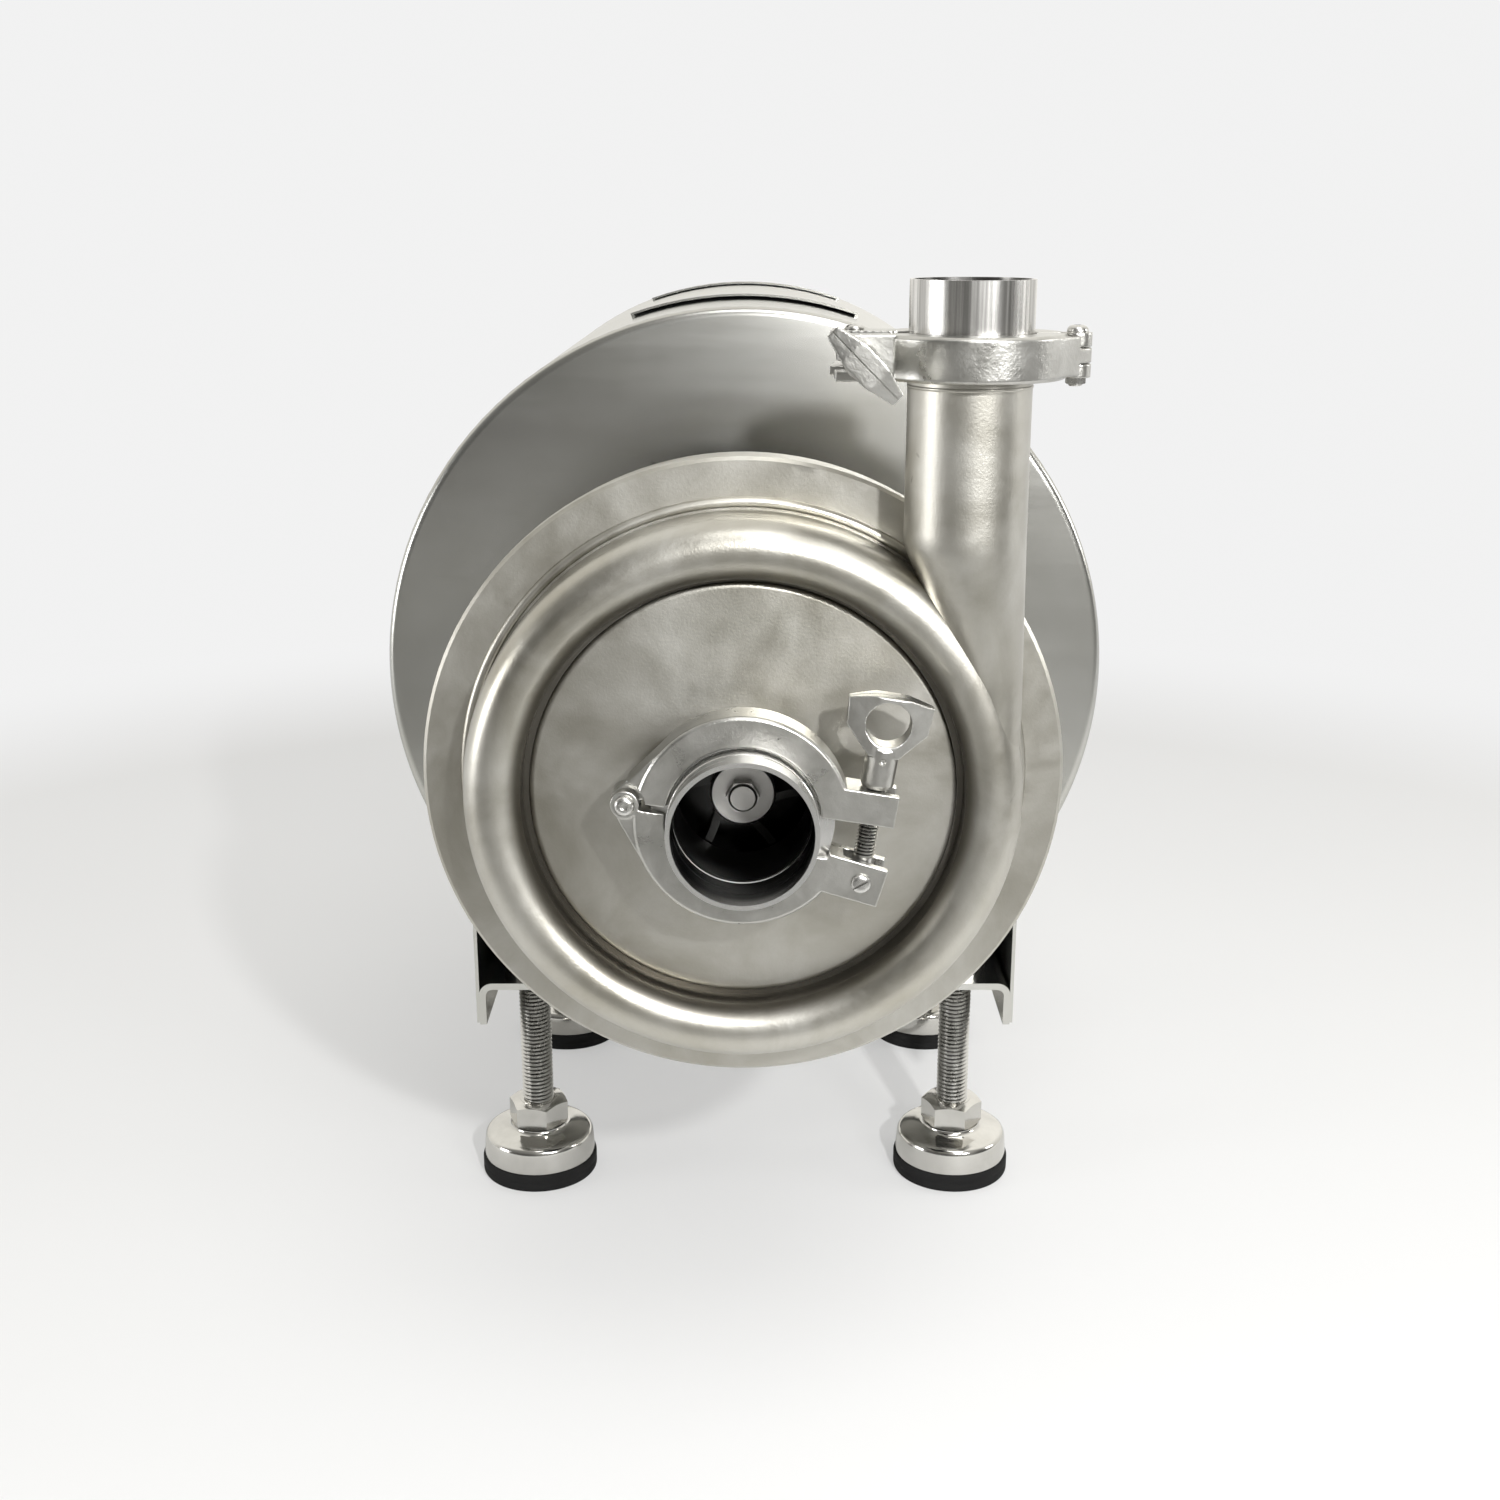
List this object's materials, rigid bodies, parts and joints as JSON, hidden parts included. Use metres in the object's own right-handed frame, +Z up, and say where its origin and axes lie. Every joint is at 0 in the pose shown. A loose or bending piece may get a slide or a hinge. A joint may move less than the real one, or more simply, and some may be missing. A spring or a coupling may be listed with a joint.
{
  "type": "sanitary centrifugal pump",
  "caption": "Stainless centrifugal pump with a ringed volute casing, clamped inlet and upright discharge, and a round motor shroud on levelling feet.",
  "frame": {"origin": "centre of the overall box on the floor under the rubber pads", "axes": "+Z up, the inlet faces -Y, the discharge is on the +X side"},
  "size_m": [0.395, 0.6906, 0.5435],
  "materials": {
    "satin_steel": "bead blasted satin stainless steel",
    "sheet_steel": "fine brushed stainless sheet",
    "polished_steel": "turned and polished stainless steel",
    "cast_steel": "cast and tumbled stainless steel",
    "bright_screws": "bright stainless fasteners",
    "foot_chrome": "bright plated foot",
    "seal_rubber": "black rubber",
    "seal_carbon": "carbon seal ring",
    "seal_ceramic": "ceramic seal face",
    "joint_ptfe": "white sealing ring",
    "motor_paint": "painted cast iron",
    "core_iron": "laminated iron",
    "winding_copper": "varnished copper windings",
    "fan_plastic": "black moulded fan"
  },
  "bodies": {
    "stand": {"pump_casing": "satin_steel", "casing_nuts": "bright_screws", "casing_o_ring": "seal_rubber", "back_plate": "satin_steel", "lantern": "satin_steel", "lantern_screws": "bright_screws", "seal_seat": "seal_ceramic", "front_bearing": "polished_steel", "rear_bearing": "polished_steel", "front_bell": "motor_paint", "rear_bell": "motor_paint", "motor_frame": "motor_paint", "stator_core": "core_iron", "stator_windings": "winding_copper", "fan_cowl": "motor_paint", "terminal_box": "motor_paint", "terminal_lid": "motor_paint", "motor_rails": "sheet_steel", "motor_bolts": "bright_screws", "base_plate": "sheet_steel", "leg_nuts": "bright_screws", "shroud_shell": "sheet_steel", "shroud_front": "sheet_steel", "shroud_rear": "sheet_steel", "shroud_screws": "bright_screws", "inlet_stub": "polished_steel", "inlet_gasket": "joint_ptfe", "inlet_clamp_lower": "cast_steel", "inlet_hinge_pin": "bright_screws", "inlet_pivot_pin": "bright_screws", "outlet_stub": "polished_steel", "outlet_gasket": "joint_ptfe", "outlet_clamp_rear": "cast_steel", "outlet_hinge_pin": "bright_screws", "outlet_pivot_pin": "bright_screws"},
    "rotor": {"impeller": "cast_steel", "hub_cap": "polished_steel", "impeller_bolt": "bright_screws", "seal_rotor": "seal_carbon", "pump_shaft": "polished_steel", "motor_shaft": "polished_steel", "rotor_core": "core_iron", "motor_fan": "fan_plastic"},
    "inlet_bolt": {"inlet_swing_bolt": "bright_screws"},
    "inlet_nut": {"inlet_wing_nut": "cast_steel"},
    "inlet_upper": {"inlet_clamp_upper": "cast_steel"},
    "outlet_bolt": {"outlet_swing_bolt": "bright_screws"},
    "outlet_nut": {"outlet_wing_nut": "cast_steel"},
    "outlet_front": {"outlet_clamp_front": "cast_steel"},
    "leg_front_left": {"foot_front_left": "foot_chrome", "pad_front_left": "seal_rubber"},
    "leg_front_right": {"foot_front_right": "foot_chrome", "pad_front_right": "seal_rubber"},
    "leg_rear_left": {"foot_rear_left": "foot_chrome", "pad_rear_left": "seal_rubber"},
    "leg_rear_right": {"foot_rear_right": "foot_chrome", "pad_rear_right": "seal_rubber"}
  },
  "joints": [
    {"name": "rotor_spin", "type": "hinge", "parent": "stand", "child": "rotor", "pos_m": [0, -0.25717, 0.325], "axis": [0, 1, 0], "continuous": true},
    {"name": "leg_front_left_height", "type": "slide", "parent": "stand", "child": "leg_front_left", "axis": [0, 0, 1], "range_m": [-0.02, 0.015]},
    {"name": "leg_front_right_height", "type": "slide", "parent": "stand", "child": "leg_front_right", "axis": [0, 0, 1], "range_m": [-0.02, 0.015]},
    {"name": "leg_rear_left_height", "type": "slide", "parent": "stand", "child": "leg_rear_left", "axis": [0, 0, 1], "range_m": [-0.02, 0.015]},
    {"name": "leg_rear_right_height", "type": "slide", "parent": "stand", "child": "leg_rear_right", "axis": [0, 0, 1], "range_m": [-0.02, 0.015]},
    {"name": "inlet_bolt_swing", "type": "hinge", "parent": "stand", "child": "inlet_bolt", "pos_m": [0.04968, -0.31167, 0.2983], "axis": [0, 1, 0], "range_deg": [0, 60]},
    {"name": "inlet_nut_travel", "type": "slide", "parent": "inlet_bolt", "child": "inlet_nut", "axis": [0.1564, 0, 0.9877], "range_m": [0, 0.009]},
    {"name": "inlet_upper_open", "type": "hinge", "parent": "stand", "child": "inlet_upper", "pos_m": [-0.04914, -0.31167, 0.33278], "axis": [0, -1, 0], "range_deg": [0, 2.2]},
    {"name": "outlet_bolt_swing", "type": "hinge", "parent": "stand", "child": "outlet_bolt", "pos_m": [0.0465, -0.26508, 0.5135], "axis": [0, 0, -1], "range_deg": [0, 60]},
    {"name": "outlet_nut_travel", "type": "slide", "parent": "outlet_bolt", "child": "outlet_nut", "axis": [0, -1, 0], "range_m": [0, 0.009]},
    {"name": "outlet_front_open", "type": "hinge", "parent": "stand", "child": "outlet_front", "pos_m": [0.136, -0.28368, 0.5135], "axis": [0, 0, 1], "range_deg": [0, 2.4]}
  ],
  "couplings": [
    {"joint": "inlet_nut_travel", "follows": "inlet_bolt_swing", "m_per_rad": 0.0085901},
    {"joint": "inlet_upper_open", "follows": "inlet_bolt_swing", "ratio": 0.036648},
    {"joint": "outlet_nut_travel", "follows": "outlet_bolt_swing", "m_per_rad": 0.0085901},
    {"joint": "outlet_front_open", "follows": "outlet_bolt_swing", "ratio": 0.03998}
  ]
}
